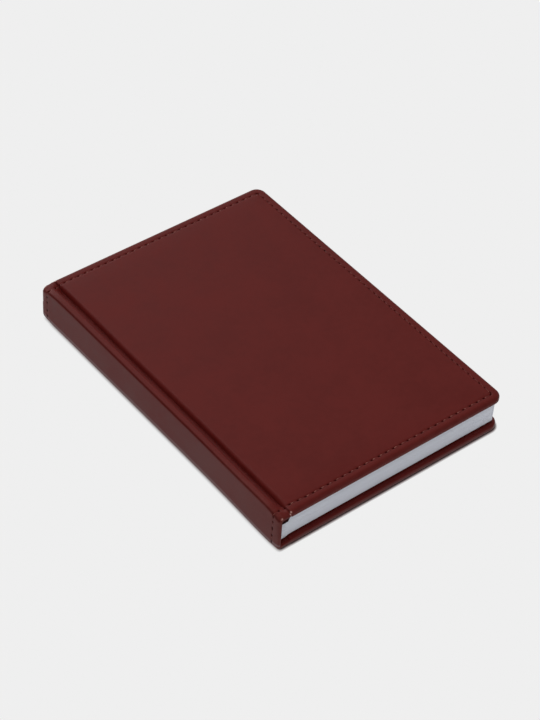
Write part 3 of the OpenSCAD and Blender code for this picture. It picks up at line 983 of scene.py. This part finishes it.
def innerMaterial(name, look):
    material, shader = newFinish(name + "_inside", Roughness=0.85, Specular_IOR_Level=0.15)
    place = addNode(material, "ShaderNodeTexCoord").outputs["Object"]
    mapped = addNode(material, "ShaderNodeMapping", {"Vector": place, "Scale": look["stretch"]})
    place = mapped.outputs["Vector"]
    if name == "mull":
        warp = addNode(material, "ShaderNodeTexWave", {"Vector": place, "Scale": 1.0}, bands_direction="Y")
        weft = addNode(material, "ShaderNodeTexWave", {"Vector": place, "Scale": 1.0}, bands_direction="Z")
        height = calculate(material, "MAXIMUM", warp.outputs["Fac"], weft.outputs["Fac"])
    else:
        height = noise(material, place, look["scale"], 4.0)
    colour = mixColour(material, spread(material, height, 0, 1), look["dark"], look["light"])
    material.node_tree.links.new(colour, shader.inputs["Base Color"])
    bumped(material, shader, height, 0.4, 0.0001)
    return material


innerFinishes = {key: innerMaterial(key, look) for key, look in innerFinish.items()}
for key, finish in innerFinishes.items():
    for nodeName in innerNodes[key]:
        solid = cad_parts[nodeName]
        solid.data.materials.clear()
        solid.data.materials.append(finish)

# Spine card: rounded at its corners, so that the leather can be drawn down over the ends of the spine
spineCard = {
    "cornerR": 6.5,
    "trim": 0.4,
}


def cardPiece(name, node, shape):
    # a rounded rectangle, carried from the card's one face to the other
    low, high = nodeBox(node)
    turn = np.linspace(0, 2 * math.pi, 40, endpoint=False) + math.pi / 40
    halfY = high[1] - shape["trim"]
    halfZ = (high[2] - low[2]) / 2 - shape["trim"]
    y = np.sign(np.cos(turn)) * (halfY - shape["cornerR"]) + shape["cornerR"] * np.cos(turn)
    z = bookT / 2 + np.sign(np.sin(turn)) * (halfZ - shape["cornerR"]) + shape["cornerR"] * np.sin(turn)
    points = np.stack([np.stack([np.full_like(y, x), y, z], axis=-1) for x in (low[0], high[0])])
    faces = gridFaces(2, len(turn), closed=True)
    card = meshPiece(name, points, faces, {}, innerFinishes["greyboard"])
    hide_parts(node)
    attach(card, "text_block")


cardPiece("spine_card", "spine_board", spineCard)
print("inner layers finished")

# Stage: a pale floor that shows its own flat tone to the camera and to reflections, with a contact shadow
stageLook = {
    "tone": 0.863,
    "bounce": (0.79, 0.79, 0.79, 1),
    "shadowReach": 0.0019,
    "shadowDepth": 0.965,
    "shadowFrom": 0.45,
    "shadowTint": (1, 0.55, 0.54, 1),
    "openSide": (-0.55, 0.50, 0.67),
    "size": 6.0,
}


def floorMaterial(look):
    material = bpy.data.materials.new("pale_floor")
    material.use_nodes = True
    material.node_tree.nodes.clear()
    path = addNode(material, "ShaderNodeLightPath")
    seen = calculate(material, "MAXIMUM", path.outputs["Is Camera Ray"], path.outputs["Is Glossy Ray"])
    seen = calculate(material, "MAXIMUM", seen, path.outputs["Is Transmission Ray"])
    openSide = addNode(material, "ShaderNodeCombineXYZ", dict(zip("XYZ", look["openSide"])))
    contact = addNode(material, "ShaderNodeAmbientOcclusion",
                      {"Distance": look["shadowReach"], "Normal": openSide.outputs["Vector"]}, samples=16)
    shade = spread(material, contact.outputs["AO"], look["shadowDepth"], 0, look["shadowFrom"], 1.0)
    shade = calculate(material, "MULTIPLY", shade, path.outputs["Is Camera Ray"])
    tone = calculate(material, "MULTIPLY", calculate(material, "SUBTRACT", 1.0, shade), look["tone"])
    tint = mixColour(material, calculate(material, "POWER", shade, 3.0), (1, 1, 1, 1), look["shadowTint"])
    glow = addNode(material, "ShaderNodeEmission", {"Strength": tone, "Color": tint})
    plain = addNode(material, "ShaderNodeBsdfDiffuse", {"Color": look["bounce"]})
    both = addNode(material, "ShaderNodeMixShader", {0: seen, 1: plain.outputs[0], 2: glow.outputs[0]})
    addNode(material, "ShaderNodeOutputMaterial", {"Surface": both.outputs[0]})
    return material


def makeFloor(look):
    half = look["size"]
    mesh = bpy.data.meshes.new("floor")
    corners = [(-half, -half, 0), (half, -half, 0), (half, half, 0), (-half, half, 0)]
    mesh.from_pydata(corners, [], [(0, 1, 2, 3)])
    mesh.materials.append(floorMaterial(look))
    floor = bpy.data.objects.new("floor", mesh)
    bpy.context.scene.collection.objects.link(floor)


makeFloor(stageLook)

# Light: a dim room, a wide soft sky overhead and a bright panel behind the head of the book
lightLook = {
    "dim": 0.155,
    "overhead": {"toward": (0.268, -0.201, 0.942), "fade": (-0.32, 0.74), "glow": 0.452},
    "behind": {"toward": (-0.019, 0.842, 0.539), "fade": (0.775, 0.9475), "glow": 2.41},
}


def makeLight(look):
    scene = bpy.context.scene
    scene.world = bpy.data.worlds.new("studio")
    scene.world.use_nodes = True
    background = scene.world.node_tree.nodes["Background"]
    toward = addNode(scene.world, "ShaderNodeTexCoord").outputs["Generated"]
    glow = look["dim"]
    for lamp in (look["overhead"], look["behind"]):
        facing = addNode(scene.world, "ShaderNodeVectorMath", {0: toward, 1: lamp["toward"]},
                         operation="DOT_PRODUCT")
        share = spread(scene.world, facing.outputs["Value"], 0, lamp["glow"], *lamp["fade"])
        share.node.interpolation_type = "SMOOTHSTEP"
        glow = calculate(scene.world, "ADD", glow, share)
    seen = addNode(scene.world, "ShaderNodeLightPath").outputs["Is Camera Ray"]
    plain = addNode(scene.world, "ShaderNodeMix", {0: seen, 2: glow, 3: stageLook["tone"]})
    scene.world.node_tree.links.new(plain.outputs[0], background.inputs["Strength"])
    background.inputs["Color"].default_value = (1, 1, 1, 1)


makeLight(lightLook)

# Camera: the photograph's angle, roll and perspective; the focal length is in pixels of a 540 by 720 picture
cameraLook = {
    "azimuth": -40.96,
    "elevation": 43.82,
    "roll": 4.01,
    "distance": 1236.5,
    "target": (7.01, 5.98, 0.0),
    "focalPixels": 2229.7,
    "longSidePixels": 720,
    "sensor": 36.0,
    "clipEnd": 20,
}


def makeCamera(look):
    turn, lift, roll = (math.radians(look[key]) for key in ("azimuth", "elevation", "roll"))
    back = Vector((math.sin(turn) * math.cos(lift), -math.cos(turn) * math.cos(lift), math.sin(lift)))
    right = Vector((math.cos(turn), math.sin(turn), 0))
    up = back.cross(right)
    rolledRight = right * math.cos(roll) + up * math.sin(roll)
    rolledUp = up * math.cos(roll) - right * math.sin(roll)
    data = bpy.data.cameras.new("photoView")
    data.sensor_width = look["sensor"]
    data.lens = look["focalPixels"] * look["sensor"] / look["longSidePixels"]
    data.clip_end = look["clipEnd"]
    camera = bpy.data.objects.new("photoView", data)
    place = Matrix((rolledRight, rolledUp, back)).transposed().to_4x4()
    place.translation = (Vector(look["target"]) + back * look["distance"]) * mm
    camera.matrix_world = place
    bpy.context.scene.collection.objects.link(camera)
    bpy.context.scene.camera = camera


makeCamera(cameraLook)
bpy.context.scene.view_settings.view_transform = "Standard"
print("stage, light and camera set")
